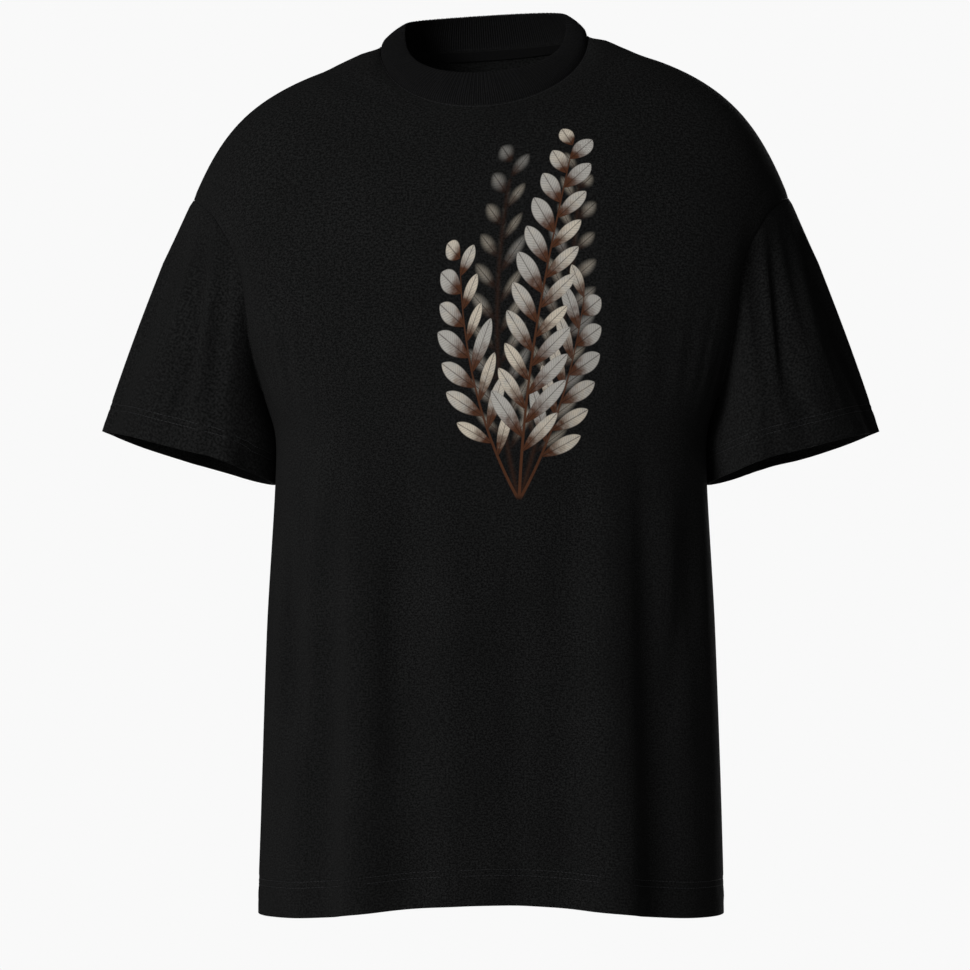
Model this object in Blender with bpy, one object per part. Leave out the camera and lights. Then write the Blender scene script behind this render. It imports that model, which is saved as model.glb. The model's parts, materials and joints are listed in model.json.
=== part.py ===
"""A heavy cotton T-shirt of loose cut with dropped shoulders, in the shape that it hangs in when worn.

The front panel, the back panel and the two sleeves are grids of points on one surface and share
their edges. Each is then given its cloth's thickness as a closed solid, drawn back a little at its
seams. The rib collar and the neck tape are bands that follow the neckline.
Units are metres. +Z is up, the chest faces -Y, and the left sleeve is on +X. The origin is midway
between the two high points of the shoulders, which carry the shirt.
"""

import math

import bmesh
import bpy
from mathutils import Vector

# Cloth
CLOTH = 0.0012  # thickness of the jersey
SEAM_GAP = 0.0006  # between the edges of two panels that are sewn together

# Body, front view
HEM_Z = -0.757
HEM_RISE = 0.014  # the front of the hem rides up this much at its middle
HEM_RISE_HALF_WIDTH = 0.200
HEM_RISE_HEIGHT = 0.157  # above the hem, where the rise has died away
UNDERARM_Z = -0.338
CHEST_Z = -0.205
HEM_HEIGHT = 0.030  # turned up inside the bottom edge
# Levels of the body: height, half width, how far the front and the back stand from the side seam,
# and how square the section is, where 2 is a plain ellipse
BODY_LEVELS = (
    (HEM_Z, 0.203, 0.138, 0.128, 2.50),
    (-0.640, 0.199, 0.141, 0.129, 2.50),
    (-0.500, 0.194, 0.143, 0.130, 2.45),
    (UNDERARM_Z, 0.184, 0.143, 0.128, 2.35),
)
CHEST_FRONT = 0.138  # how far the chest stands in front of the origin
CHEST_BACK = 0.128
CHEST_SQUARENESS = 2.15

# Armhole, from the underarm up to the shoulder point: x, forward or backward reach, z
UNDERARM = Vector((0.184, 0.0, UNDERARM_Z))
SHOULDER_POINT = Vector((0.262, 0.004, -0.147))
ARMHOLE_FRONT = ((0.199, -0.050, -0.300), (0.208, -0.072, -0.250), (0.212, -0.074, CHEST_Z))
ARMHOLE_BACK = ((0.199, 0.050, -0.300), (0.210, 0.074, -0.250), (0.216, 0.078, CHEST_Z))
ARMHOLE_TOP_FRONT = (0.232, -0.050, -0.164)
ARMHOLE_TOP_BACK = (0.234, 0.056, -0.164)

# Shoulder seam, between the neckline and the shoulder point: x and z
SHOULDER_SEAM = ((0.145, -0.0245), (0.200, -0.052), (0.236, -0.092))
SHOULDER_Y = 0.004

# Yoke, where each column of points runs from the chest up to the top edge, round one bend
YOKE_BEND_HEIGHT = 0.90  # share of the height, at the armholes
YOKE_NECK_DROP_FRONT = 0.26  # less than that towards the neck
YOKE_NECK_DROP_BACK = 0.16
YOKE_NECK_START = 0.20  # share of the way in from the armhole where the drop begins
YOKE_BEND_ACROSS = 0.50
YOKE_BEND_BACK = 0.16  # share of the way from the chest back to the top edge
YOKE_BEND_BACK_FALL = 0.08  # less than that in the middle

# Neckline, where the collar is sewn on
NECK_HALF_WIDTH = 0.090
NECK_SHIFT = -0.006  # the neck hangs a little to one side
NECK_FRONT = 0.088
NECK_BACK = 0.076
NECK_FRONT_Z = -0.069
NECK_SIDE_Z = -0.007
NECK_BACK_Z = -0.010
NECK_CURVE = 0.9  # how its height follows the turn from side to front
NECK_PLAN = 0.82  # under 1 squares its outline, seen from above

# Rib collar, a band folded double
COLLAR_HALF_WIDTH = 0.0695
COLLAR_SHIFT = -0.0045
COLLAR_FRONT = 0.066
COLLAR_BACK = 0.062
COLLAR_FRONT_Z = -0.0405
COLLAR_SIDE_Z = 0.007
COLLAR_BACK_Z = 0.018
COLLAR_CURVE = 0.6
COLLAR_PLAN = 0.90
COLLAR_THICKNESS = 0.0022
COLLAR_CROWN = 0.0016  # the band is a little convex
COLLAR_EDGE_SHARE = 0.75  # its thickness at both edges
COLLAR_GAP = 0.0010  # between the band and the neckline it is sewn to

# Tape that covers the neck seam inside the back
TAPE_WIDTH = 0.010
TAPE_THICKNESS = 0.0007
TAPE_CLEARANCE = 0.0008  # from the back panel
TAPE_DROP = 0.0012  # its upper edge lies this far below the neck seam

# Sleeves, where the hem is a tilted ellipse
SLEEVE_HEM_CENTRE = Vector((0.2610, 0.0, -0.3685))
SLEEVE_HEM_HALF_WIDTH = 0.0700
SLEEVE_HEM_HALF_DEPTH = 0.0780
SLEEVE_HEM_SLOPE = 0.325  # rise towards the outer side
SLEEVE_BACK_DROP = 0.070  # fall towards the back
SLEEVE_HEM_HEIGHT = 0.025
SLEEVE_FULLNESS = 0.008

# The shirt hangs a little askew, with its left shoulder higher
LEAN = 0.0055
LEAN_SPAN = 0.27
LEAN_FOOT_Z = -0.34
LEAN_TOP_Z = -0.10

# How finely each stretch is divided
SHOULDER_COLUMNS = 8
NECK_COLUMNS = 18
SKIRT_ROWS = 22
ARMPIT_ROWS = 7
YOKE_ROWS = 9
SLEEVE_ROWS = 10
HEM_STEP = 0.0012  # the turned-up cloth ends in this short step
COLLAR_COLUMNS = 2 * NECK_COLUMNS  # so that its edge follows the panels' edges
COLLAR_ROWS = 5
NEAR_TURN = 0.01  # a small step round the neckline, for its direction
COLUMNS = 2 * SHOULDER_COLUMNS + NECK_COLUMNS

SAME_PLACE = 0.00001  # points of two panels that are closer than this are one point of the sheet
SMOOTH_ANGLE = math.radians(50)  # edges that are sharper, such as the cut edges, stay sharp

CLOTH_COLOUR = (0.012, 0.012, 0.013, 1.0)
RIB_COLOUR = (0.010, 0.010, 0.011, 1.0)
KNIT_ROUGHNESS = 0.95
TAPE_ROUGHNESS = 0.90


def clear_scene():
    for thing in list(bpy.data.objects):
        bpy.data.objects.remove(thing)


def smooth(share):
    """0 up to share 0, 1 from share 1, and an even bend between."""
    share = min(1.0, max(0.0, share))
    return share * share * (3 - 2 * share)


def along(points, share):
    """The point at that share of the way through a list, on a smooth curve through its points."""
    points = [Vector(p) for p in points]
    place = min(share, 1.0) * (len(points) - 1)
    i = min(int(place), len(points) - 2)
    t = place - i
    before = points[i - 1] if i else 2 * points[0] - points[1]
    a, b = points[i], points[i + 1]
    after = points[i + 2] if i + 2 < len(points) else 2 * points[-1] - points[-2]
    return 0.5 * (
        2 * a
        + (b - before) * t
        + (2 * before - 5 * a + 4 * b - after) * t**2
        + (3 * a - before - 3 * b + after) * t**3
    )


def posture(p):
    """The point as the shirt hangs, with one shoulder higher than the other."""
    lift = LEAN * math.sin(math.pi * max(-1.0, min(1.0, p.x / LEAN_SPAN)))
    lift *= smooth((p.z - LEAN_FOOT_Z) / (LEAN_TOP_Z - LEAN_FOOT_Z))
    return Vector((p.x, p.y, p.z + lift))


def body_level(z):
    """Half width, front reach, back reach and squareness at a height below the underarm."""
    for low, high in zip(BODY_LEVELS, BODY_LEVELS[1:]):
        if z <= high[0] or high is BODY_LEVELS[-1]:
            share = (z - low[0]) / (high[0] - low[0])
            return [a + (b - a) * share for a, b in zip(low[1:], high[1:])]


def neckline(turn):
    """Where the collar is sewn on; turn is 0 at the front and half a circle at the back."""
    return ring_point(
        turn,
        (NECK_SHIFT, NECK_HALF_WIDTH, NECK_FRONT, NECK_BACK),
        (NECK_FRONT_Z, NECK_SIDE_Z, NECK_BACK_Z),
        (NECK_CURVE, NECK_PLAN),
    )


def collar_edge(turn):
    """The collar's free edge, round the neck."""
    return ring_point(
        turn,
        (COLLAR_SHIFT, COLLAR_HALF_WIDTH, COLLAR_FRONT, COLLAR_BACK),
        (COLLAR_FRONT_Z, COLLAR_SIDE_Z, COLLAR_BACK_Z),
        (COLLAR_CURVE, COLLAR_PLAN),
    )


def ring_point(turn, plan, heights, powers):
    """A point on a ring round the neck, whose front dips."""
    shift, half_width, front, back = plan
    front_z, side_z, back_z = heights
    ahead = math.cos(turn)
    end, reach = (front_z, -front) if ahead > 0 else (back_z, back)
    rise, out = (abs(ahead) ** power for power in powers)
    y = SHOULDER_Y + (reach - SHOULDER_Y) * out
    return Vector((shift + half_width * math.sin(turn), y, side_z + (end - side_z) * rise))


def shoulder_seam(side, share):
    """The seam over one shoulder, from the shoulder point in to the neckline."""
    inner = neckline(side * math.pi / 2)
    middle = [Vector((side * x, SHOULDER_Y, z)) for x, z in reversed(SHOULDER_SEAM)]
    outer = Vector((side * SHOULDER_POINT.x, SHOULDER_POINT.y, SHOULDER_POINT.z))
    return along([outer, *middle, inner], share)


def armhole(front, share):
    """The left armhole's seam, from the underarm up to the shoulder point."""
    low = ARMHOLE_FRONT if front else ARMHOLE_BACK
    top = ARMHOLE_TOP_FRONT if front else ARMHOLE_TOP_BACK
    return along([UNDERARM, *low, top, SHOULDER_POINT], share)


# The share of the armhole that lies between the underarm and the height of the chest
ARMHOLE_SPANS = len(ARMHOLE_FRONT) + 2
CHEST_SHARE = len(ARMHOLE_FRONT) / ARMHOLE_SPANS


def top_edge(column, front):
    """The panel's top edge: shoulder seam, neckline, shoulder seam."""
    if column <= SHOULDER_COLUMNS:
        return shoulder_seam(-1, column / SHOULDER_COLUMNS)
    if column >= COLUMNS - SHOULDER_COLUMNS:
        return shoulder_seam(1, (COLUMNS - column) / SHOULDER_COLUMNS)
    share = (column - SHOULDER_COLUMNS) / NECK_COLUMNS
    turn = math.pi * (share - 0.5)
    return neckline(turn if front else math.pi - turn)


def level_row(half_width, edge_y, reach, squareness, z):
    """Points along one level of a panel, half of a squared ellipse between its two side edges."""
    row = []
    for column in range(COLUMNS + 1):
        turn = math.pi * (column / COLUMNS - 0.5)
        across = math.copysign(abs(math.sin(turn)) ** (2 / squareness), math.sin(turn))
        ahead = abs(math.cos(turn)) ** (2 / squareness)
        row.append(Vector((half_width * across, edge_y + (reach - edge_y) * ahead, z)))
    return row


def skirt_heights():
    """Levels from the hem up to the underarm, with a close pair where the turned-up cloth ends."""
    turned = HEM_Z + HEM_HEIGHT
    low = [HEM_Z, turned, turned + HEM_STEP]
    rest = [turned + (UNDERARM_Z - turned) * (i + 1) / SKIRT_ROWS for i in range(SKIRT_ROWS)]
    return low + rest


def hem_lift(p, front):
    """The hem isn't level: its front rides up in the middle."""
    if not front:
        return 0.0
    near_hem = smooth(1 - (p.z - HEM_Z) / HEM_RISE_HEIGHT)
    return HEM_RISE * near_hem * math.cos(math.pi / 2 * min(1.0, abs(p.x) / HEM_RISE_HALF_WIDTH)) ** 2


def panel_grid(front):
    """Rows of points, hem to top, each from the right side seam to the left one."""
    way = -1 if front else 1
    rows = []
    for z in skirt_heights():
        half_width, front_reach, back_reach, squareness = body_level(z)
        reach = way * (front_reach if front else back_reach)
        row = level_row(half_width, 0.0, reach, squareness, z)
        rows.append([p + Vector((0, 0, hem_lift(p, front))) for p in row])
    chest_reach = way * (CHEST_FRONT if front else CHEST_BACK)
    for i in range(1, ARMPIT_ROWS + 1):
        share = i / ARMPIT_ROWS
        edge = armhole(front, CHEST_SHARE * share)
        level_reach = reach + (chest_reach - reach) * smooth(share)
        level_squareness = squareness + (CHEST_SQUARENESS - squareness) * smooth(share)
        rows.append(level_row(edge.x, edge.y, level_reach, level_squareness, edge.z))
    chest = rows[-1]
    for i in range(1, YOKE_ROWS + 1):
        share = i / YOKE_ROWS
        edge = armhole(front, CHEST_SHARE + (1 - CHEST_SHARE) * share)
        row = [yoke_point(chest[c], top_edge(c, front), c, front, share) for c in range(COLUMNS + 1)]
        row[0] = Vector((-edge.x, edge.y, edge.z))
        row[-1] = edge
        rows.append(row)
    return rows


def yoke_point(low, high, column, front, share):
    """A point on the way from the chest up to the top edge, which rolls back over the shoulder."""
    centre = 1 - abs(2 * column / COLUMNS - 1)  # 0 at the armhole and 1 in the middle
    drop = YOKE_NECK_DROP_FRONT if front else YOKE_NECK_DROP_BACK
    drop *= smooth((centre - YOKE_NECK_START) / (1 - YOKE_NECK_START))
    bend = Vector((
        low.x + (high.x - low.x) * YOKE_BEND_ACROSS,
        low.y + (high.y - low.y) * (YOKE_BEND_BACK - YOKE_BEND_BACK_FALL * centre),
        low.z + (high.z - low.z) * (YOKE_BEND_HEIGHT - drop),
    ))
    return (1 - share) ** 2 * low + 2 * share * (1 - share) * bend + share**2 * high


def sleeve_grid(front_edge, back_edge, side):
    """Rings from the armhole down to the sleeve's hem, each from the top round by the front."""
    ring = list(reversed(front_edge)) + back_edge[1:-1]
    lengths = [0.0]
    for a, b in zip(ring, ring[1:] + ring[:1]):
        lengths.append(lengths[-1] + (b - a).length)
    columns = []
    for start, length in zip(ring, lengths):
        turn = 2 * math.pi * length / lengths[-1]
        x = SLEEVE_HEM_HALF_WIDTH * math.cos(turn)
        y = -SLEEVE_HEM_HALF_DEPTH * math.sin(turn)
        z = SLEEVE_HEM_SLOPE * x - SLEEVE_BACK_DROP * y
        hem = SLEEVE_HEM_CENTRE + Vector((x, y, z))
        hem.x *= side
        out = Vector((side * math.cos(turn), -math.sin(turn), 0))
        columns.append((start, hem, out, abs(math.sin(turn))))
    rings = []
    for share in sleeve_shares():
        rings.append([
            start.lerp(hem, share) + out * SLEEVE_FULLNESS * sway * math.sin(math.pi * share)
            for start, hem, out, sway in columns
        ])
    return rings


def sleeve_shares():
    """Places of the rings between armhole and hem, with a close pair where the hem's cloth ends."""
    length = (SLEEVE_HEM_CENTRE - SHOULDER_POINT).length
    turned = 1 - SLEEVE_HEM_HEIGHT / length
    step = HEM_STEP / length
    return [turned * i / SLEEVE_ROWS for i in range(SLEEVE_ROWS)] + [turned - step, turned, 1.0]


def add_faces(mesh, rows, closed, panel, is_hem):
    """Joins rows of points with four-sided faces and notes which panel they belong to."""
    layer = mesh.faces.layers.int["panel"]
    points = [[mesh.verts.new(posture(p)) for p in row] for row in rows]
    count = len(rows[0])
    for j in range(len(rows) - 1):
        for i in range(count if closed else count - 1):
            k = (i + 1) % count
            face = mesh.faces.new((points[j][i], points[j][k], points[j + 1][k], points[j + 1][i]))
            face[layer] = panel
    for j, row in enumerate(points):
        for v in row:
            v[mesh.verts.layers.int["turned"]] = int(is_hem(j))


PANELS = ("front_panel", "back_panel", "sleeve_left", "sleeve_right")


def shirt_surface():
    """The whole shirt as one sheet of faces, each with the number of its panel."""
    mesh = bmesh.new()
    mesh.faces.layers.int.new("panel")
    mesh.verts.layers.int.new("turned")
    front, back = panel_grid(True), panel_grid(False)
    add_faces(mesh, front, False, 0, lambda row: row < 2)
    add_faces(mesh, [list(reversed(row)) for row in back], False, 1, lambda row: row < 2)
    armhole_row = len(skirt_heights()) - 1
    for number, side, edge in ((2, 1, -1), (3, -1, 0)):
        front_edge = [row[edge] for row in front[armhole_row:]]
        back_edge = [row[edge] for row in back[armhole_row:]]
        rings = sleeve_grid(front_edge, back_edge, side)
        if side < 0:
            rings = [list(reversed(ring)) for ring in rings]
        add_faces(mesh, rings, True, number, lambda row: row > SLEEVE_ROWS)
    bmesh.ops.remove_doubles(mesh, verts=mesh.verts, dist=SAME_PLACE)
    bmesh.ops.recalc_face_normals(mesh, faces=mesh.faces)
    mesh.normal_update()
    return mesh


def mean(vectors):
    return sum(vectors, Vector()) / len(vectors)


def outward(v, layer):
    """The way out of the sheet at a point; in the crease of an armhole it halves the angle."""
    body = [f.normal for f in v.link_faces if f[layer] < 2]
    sleeve = [f.normal for f in v.link_faces if f[layer] >= 2]
    if not body or not sleeve:
        return v.normal
    return (mean(body) + mean(sleeve)).normalized()


def drawn_back(v, layer, number):
    """The point moved half the seam's gap away from the panels that it is sewn to."""
    mine = [f.calc_center_median() for f in v.link_faces if f[layer] == number]
    theirs = [f.calc_center_median() for f in v.link_faces if f[layer] != number]
    if not theirs:
        return v.co
    return v.co + (mean(mine) - mean(theirs)).normalized() * SEAM_GAP / 2


def panel_solid(surface, number):
    """One panel of the sheet as a closed solid, doubled inward where its hem is turned up."""
    layer = surface.faces.layers.int["panel"]
    turned = surface.verts.layers.int["turned"]
    faces = [f for f in surface.faces if f[layer] == number]
    solid = bmesh.new()
    outer, inner = {}, {}
    for v in {v: None for f in faces for v in f.verts}:
        place = drawn_back(v, layer, number)
        depth = CLOTH * (2 if v[turned] else 1)
        outer[v] = solid.verts.new(place)
        inner[v] = solid.verts.new(place - outward(v, layer) * depth)
    for f in faces:
        solid.faces.new([outer[v] for v in f.verts])
        solid.faces.new([inner[v] for v in reversed(f.verts)])
        for loop in f.loops:
            if sum(g[layer] == number for g in loop.edge.link_faces) == 1:
                a, b = loop.vert, loop.link_loop_next.vert
                solid.faces.new((outer[b], outer[a], inner[a], inner[b]))
    return solid


def band_solid(rows_out, rows_in, closed):
    """A closed solid between two grids of points, whose rows run round the neck."""
    solid = bmesh.new()
    outside = [[solid.verts.new(posture(p)) for p in row] for row in rows_out]
    inside = [[solid.verts.new(posture(p)) for p in row] for row in rows_in]
    loop = outside + inside[::-1]
    count = len(rows_out[0])
    for j in range(len(loop)):
        for i in range(count if closed else count - 1):
            k, n = (i + 1) % count, (j + 1) % len(loop)
            solid.faces.new((loop[j][i], loop[j][k], loop[n][k], loop[n][i]))
    if not closed:
        for end in (0, -1):
            solid.faces.new([row[end] for row in loop][:: 1 if end else -1])
    bmesh.ops.recalc_face_normals(solid, faces=solid.faces)
    return solid


def collar_solid():
    """The rib band between the neckline and its free edge."""
    out_rows, in_rows = [], []
    for j in range(COLLAR_ROWS):
        share = j / (COLLAR_ROWS - 1)
        out_row, in_row = [], []
        for i in range(COLLAR_COLUMNS):
            turn = 2 * math.pi * i / COLLAR_COLUMNS
            low, high = neckline(turn), collar_edge(turn)
            rise = (high - low).normalized()
            sideways = neckline(turn + NEAR_TURN) - neckline(turn - NEAR_TURN)
            normal = sideways.cross(rise).normalized()
            low = low + rise * COLLAR_GAP
            middle = low.lerp(high, share) + normal * COLLAR_CROWN * 4 * share * (1 - share)
            taper = COLLAR_EDGE_SHARE if j in (0, COLLAR_ROWS - 1) else 1.0
            out_row.append(middle + normal * COLLAR_THICKNESS * taper / 2)
            in_row.append(middle - normal * COLLAR_THICKNESS * taper / 2)
        out_rows.append(out_row)
        in_rows.append(in_row)
    return band_solid(out_rows, in_rows, True)


def tape_solid(back):
    """The tape under the neck seam inside the back, from one shoulder seam to the other."""
    first, last = SHOULDER_COLUMNS, COLUMNS - SHOULDER_COLUMNS
    lines = ([], [], [], [])
    for c in range(first, last + 1):
        top, below = back[-1][c], back[-2][c]
        down = (below - top).normalized()
        sideways = back[-1][min(c + 1, last)] - back[-1][max(c - 1, first)]
        inward = down.cross(sideways).normalized()
        near = CLOTH + TAPE_CLEARANCE
        far = near + TAPE_THICKNESS
        corners = ((TAPE_DROP, near), (TAPE_DROP + TAPE_WIDTH, near),
                   (TAPE_DROP, far), (TAPE_DROP + TAPE_WIDTH, far))
        for line, (drop, depth) in zip(lines, corners):
            line.append(top + down * drop + inward * depth)
    return band_solid(lines[:2], lines[2:], False)


def material(name, colour, roughness):
    made = bpy.data.materials.new(name)
    made.use_nodes = True
    shader = made.node_tree.nodes["Principled BSDF"]
    shader.inputs["Base Color"].default_value = colour
    shader.inputs["Roughness"].default_value = roughness
    shader.inputs["Metallic"].default_value = 0.0
    return made


def add_object(name, solid, finish):
    """Makes a scene object from a solid, shaded smooth but for its cut edges."""
    mesh = bpy.data.meshes.new(name)
    solid.to_mesh(mesh)
    solid.free()
    mesh.shade_smooth()
    mesh.set_sharp_from_angle(angle=SMOOTH_ANGLE)
    mesh.materials.append(finish)
    made = bpy.data.objects.new(name, mesh)
    bpy.context.scene.collection.objects.link(made)


def main():
    clear_scene()
    jersey = material("jersey", CLOTH_COLOUR, KNIT_ROUGHNESS)
    rib = material("rib", RIB_COLOUR, KNIT_ROUGHNESS)
    tape = material("tape", RIB_COLOUR, TAPE_ROUGHNESS)
    surface = shirt_surface()
    for number, name in enumerate(PANELS):
        add_object(name, panel_solid(surface, number), jersey)
    surface.free()
    add_object("collar_rib", collar_solid(), rib)
    add_object("neck_tape", tape_solid(panel_grid(False)), tape)


main()
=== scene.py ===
"""The looks of a heavy cotton T-shirt, hung as it is worn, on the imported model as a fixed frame."""

import heapq
import json
import math

import bmesh
import bpy
import numpy as np
from mathutils import Matrix, Vector, geometry, kdtree, noise

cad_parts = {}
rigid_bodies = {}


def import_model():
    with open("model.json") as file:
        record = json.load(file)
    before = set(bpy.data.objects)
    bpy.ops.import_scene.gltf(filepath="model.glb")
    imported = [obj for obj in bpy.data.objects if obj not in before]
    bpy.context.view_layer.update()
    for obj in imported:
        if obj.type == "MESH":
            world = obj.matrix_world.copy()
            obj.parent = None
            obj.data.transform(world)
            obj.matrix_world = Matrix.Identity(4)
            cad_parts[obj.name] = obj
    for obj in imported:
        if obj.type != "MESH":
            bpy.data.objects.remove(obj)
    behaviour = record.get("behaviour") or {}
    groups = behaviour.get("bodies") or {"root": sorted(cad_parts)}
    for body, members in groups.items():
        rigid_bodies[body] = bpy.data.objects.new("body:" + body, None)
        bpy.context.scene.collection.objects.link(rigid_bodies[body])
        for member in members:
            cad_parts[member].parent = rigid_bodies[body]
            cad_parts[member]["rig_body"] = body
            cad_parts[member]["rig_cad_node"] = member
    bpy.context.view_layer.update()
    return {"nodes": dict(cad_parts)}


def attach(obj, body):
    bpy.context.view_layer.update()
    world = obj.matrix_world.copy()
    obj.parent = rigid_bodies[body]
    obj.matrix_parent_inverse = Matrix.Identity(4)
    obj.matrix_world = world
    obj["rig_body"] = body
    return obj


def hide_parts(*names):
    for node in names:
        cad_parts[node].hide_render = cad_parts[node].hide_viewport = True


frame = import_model()
nodes = frame["nodes"]

# The body's cloth before it hangs. Front, back and sleeves are cut from one heavy single jersey and
# sewn into one piece, so they are draped as one sheet: the outer skins of the four panels, joined at
# their seams. Each face keeps the number of the panel that it belongs to.
PANELS = ("front_panel", "back_panel", "sleeve_left", "sleeve_right")
MERGE = 0.00001
SEW = 0.0022  # seam gaps, and the close rows at the top of the hems, are under this
CUT_EDGE = 0.0030  # faces narrower than this are the cloth's cut edges
FLAT_ENOUGH = math.radians(60)
TORSO_AXIS = (Vector((0.0, 0.0, -0.90)), Vector((0.0, 0.0, -0.20)))
TORSO_AXIS_HALF_WIDTH = 0.10
ARM_AXIS = (Vector((0.275, 0.0, -0.42)), Vector((0.175, 0.0, -0.14)))


def activate(*objects):
    """Selects these objects alone, and makes the last one active."""
    bpy.ops.object.select_all(action="DESELECT")
    for o in objects:
        o.select_set(True)
    bpy.context.view_layer.objects.active = objects[-1]


def editing(piece):
    """Starts an edit of the piece with all of it selected."""
    activate(piece)
    bpy.ops.object.mode_set(mode="EDIT")
    bpy.ops.mesh.select_mode(type="VERT")
    bpy.ops.mesh.select_all(action="SELECT")


def done():
    bpy.ops.object.mode_set(mode="OBJECT")


def apply_modifier(piece, kind, **settings):
    """Adds a modifier with its settings and applies it."""
    activate(piece)
    modifier = piece.modifiers.new(kind.lower(), kind)
    for name, value in settings.items():
        setattr(modifier, name, value)
    bpy.ops.object.modifier_apply(modifier=modifier.name)


def copy_in_edit_mode(node, name):
    """A copy of a CAD node as a piece of its own, with its corners merged and its edit started."""
    activate(nodes[node])
    bpy.ops.object.duplicate()
    piece = bpy.context.object
    piece.name = name
    bpy.ops.object.parent_clear(type="CLEAR_KEEP_TRANSFORM")
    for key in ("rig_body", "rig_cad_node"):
        del piece[key]
    editing(piece)
    bpy.ops.mesh.customdata_custom_splitnormals_clear()
    bpy.ops.mesh.remove_doubles(threshold=MERGE)
    return piece


def pair_triangles():
    """Makes the triangles under edit into four-sided faces, and ends the edit."""
    bpy.ops.mesh.tris_convert_to_quads(
        face_threshold=FLAT_ENOUGH, shape_threshold=math.pi, topology_influence=2.0
    )
    done()


def nearest_on_axis(p, axis):
    """The place on a line from a low end to a high end that is nearest to this one."""
    low, high = axis
    line = high - low
    share = min(1.0, max(0.0, (p - low).dot(line) / line.length_squared))
    return low + line * share


def inner_axis_point(p, number):
    """The point inside the shirt that this part of it wraps round."""
    if number < 2:
        place = nearest_on_axis(p, TORSO_AXIS)
        place.x = max(-TORSO_AXIS_HALF_WIDTH, min(TORSO_AXIS_HALF_WIDTH, p.x))
        return place
    side = 1 if number == 2 else -1
    return nearest_on_axis(p, [Vector((side * a.x, a.y, a.z)) for a in ARM_AXIS])


def outer_skin(number):
    """A copy of one panel's outer side alone, in four-sided faces."""
    skin = copy_in_edit_mode(PANELS[number], "skin")
    mesh = bmesh.from_edit_mesh(skin.data)
    mesh.normal_update()
    for f in mesh.faces:
        middle = f.calc_center_median()
        away = middle - inner_axis_point(middle, number)
        narrow = min(e.calc_length() for e in f.edges) < CUT_EDGE
        f.select_set(narrow or f.normal.dot(away) < 0)
    bmesh.update_edit_mesh(skin.data)
    bpy.ops.mesh.delete(type="FACE")
    bpy.ops.mesh.select_all(action="SELECT")
    bpy.ops.mesh.remove_doubles(threshold=SEW)
    pair_triangles()
    panel = skin.data.attributes.new("panel", "INT", "FACE")
    panel.data.foreach_set("value", [number] * len(skin.data.polygons))
    return skin


skins = [outer_skin(number) for number in range(len(PANELS))]
activate(*skins)
bpy.ops.object.join()
shirt = bpy.context.object
shirt.name = "shirt"
editing(shirt)
bpy.ops.mesh.select_all(action="DESELECT")
bpy.ops.mesh.select_non_manifold()
bpy.ops.mesh.remove_doubles(threshold=SEW)
done()

# The drape. The cloth is a little wider than the shape that it hangs in, so it falls into soft folds
# from the shoulders and the chest. It is simulated round a plain form that fills the shirt, and what
# moves as a whole is mostly taken back, so that the shirt keeps its outline.
SLACK = 0.035  # how much wider the cut is, from the chest down
SLACK_LEVELS = ((-0.34, 1.0), (-0.18, 0.0))  # height, and the share of the slack
FREE_HOLD = 0.02  # how firmly the free cloth keeps its place
HOLD_LEVELS = ((-0.20, FREE_HOLD), (-0.11, 1.0))
HANG_FRAMES = 32
# How the jersey gives: the steps in a frame, what each vertex weighs, and the threads' stiffness
JERSEY_GIVE = {
    "quality": 4,
    "mass": 0.25,
    "air_damping": 4,
    "tension_stiffness": 25,
    "compression_stiffness": 25,
    "shear_stiffness": 8,
    "bending_stiffness": 1.5,
    "pin_stiffness": 1.0,
}
# What fills the shirt: height, and how much of the way from the axis to the cloth it reaches
FORM_LEVELS = (
    (-0.80, 0.80), (-0.62, 0.80), (-0.45, 0.78), (-0.30, 0.90), (-0.20, 0.955), (0.1, 0.955)
)
ARM_REACH = 0.72
FORM_SKIN = 0.002
FORM_GRIP = 20
CLOTH_OFF_FORM = 0.003
DRIFT_ROUNDS = 160  # how far a move spreads to its neighbours to count as a move of the whole
DRIFT_TAKEN_BACK = 0.85
UNDERARM_HOLD = (0.240, 0.205)  # from here inward the sleeves' cloth more and more keeps its place
UNDERARM_LEAN = 0.007  # how much nearer to the body the sleeves' inner corners rest
UNDERARM_LEAN_Z = (-0.320, -0.360)
SLEEVE_BLEND = 6  # rounds over which this passes into the body's cloth


def smooth(share):
    """0 up to share 0, 1 from share 1, and an even bend between."""
    share = min(1.0, max(0.0, share))
    return share * share * (3 - 2 * share)


def between(levels, place):
    """The value at a place in a rising list of places and values."""
    for (a, low), (b, high) in zip(levels, levels[1:]):
        if place <= b:
            return low + (high - low) * smooth((place - a) / (b - a))
    return levels[-1][1]


def filling(number):
    """A form inside one panel's part of the shirt, for the cloth to lie on."""
    activate(shirt)
    bpy.ops.object.duplicate()
    form = bpy.context.object
    form.name = "filling"
    mesh = bmesh.new()
    mesh.from_mesh(form.data)
    layer = mesh.faces.layers.int["panel"]
    mine = (0, 1) if number < 2 else (number,)
    bmesh.ops.delete(mesh, geom=[f for f in mesh.faces if f[layer] not in mine], context="FACES")
    for v in mesh.verts:
        middle = inner_axis_point(v.co, number)
        reach = between(FORM_LEVELS, v.co.z) if number < 2 else ARM_REACH
        v.co = middle + (v.co - middle) * reach
    mesh.to_mesh(form.data)
    mesh.free()
    form.modifiers.new("collision", "COLLISION")
    form.collision.thickness_outer = FORM_SKIN
    form.collision.cloth_friction = FORM_GRIP
    return form


def weigh(name, levels):
    """A vertex group whose weight follows the height."""
    group = shirt.vertex_groups.new(name=name)
    for v in shirt.data.vertices:
        group.add([v.index], between(levels, v.co.z), "REPLACE")


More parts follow.
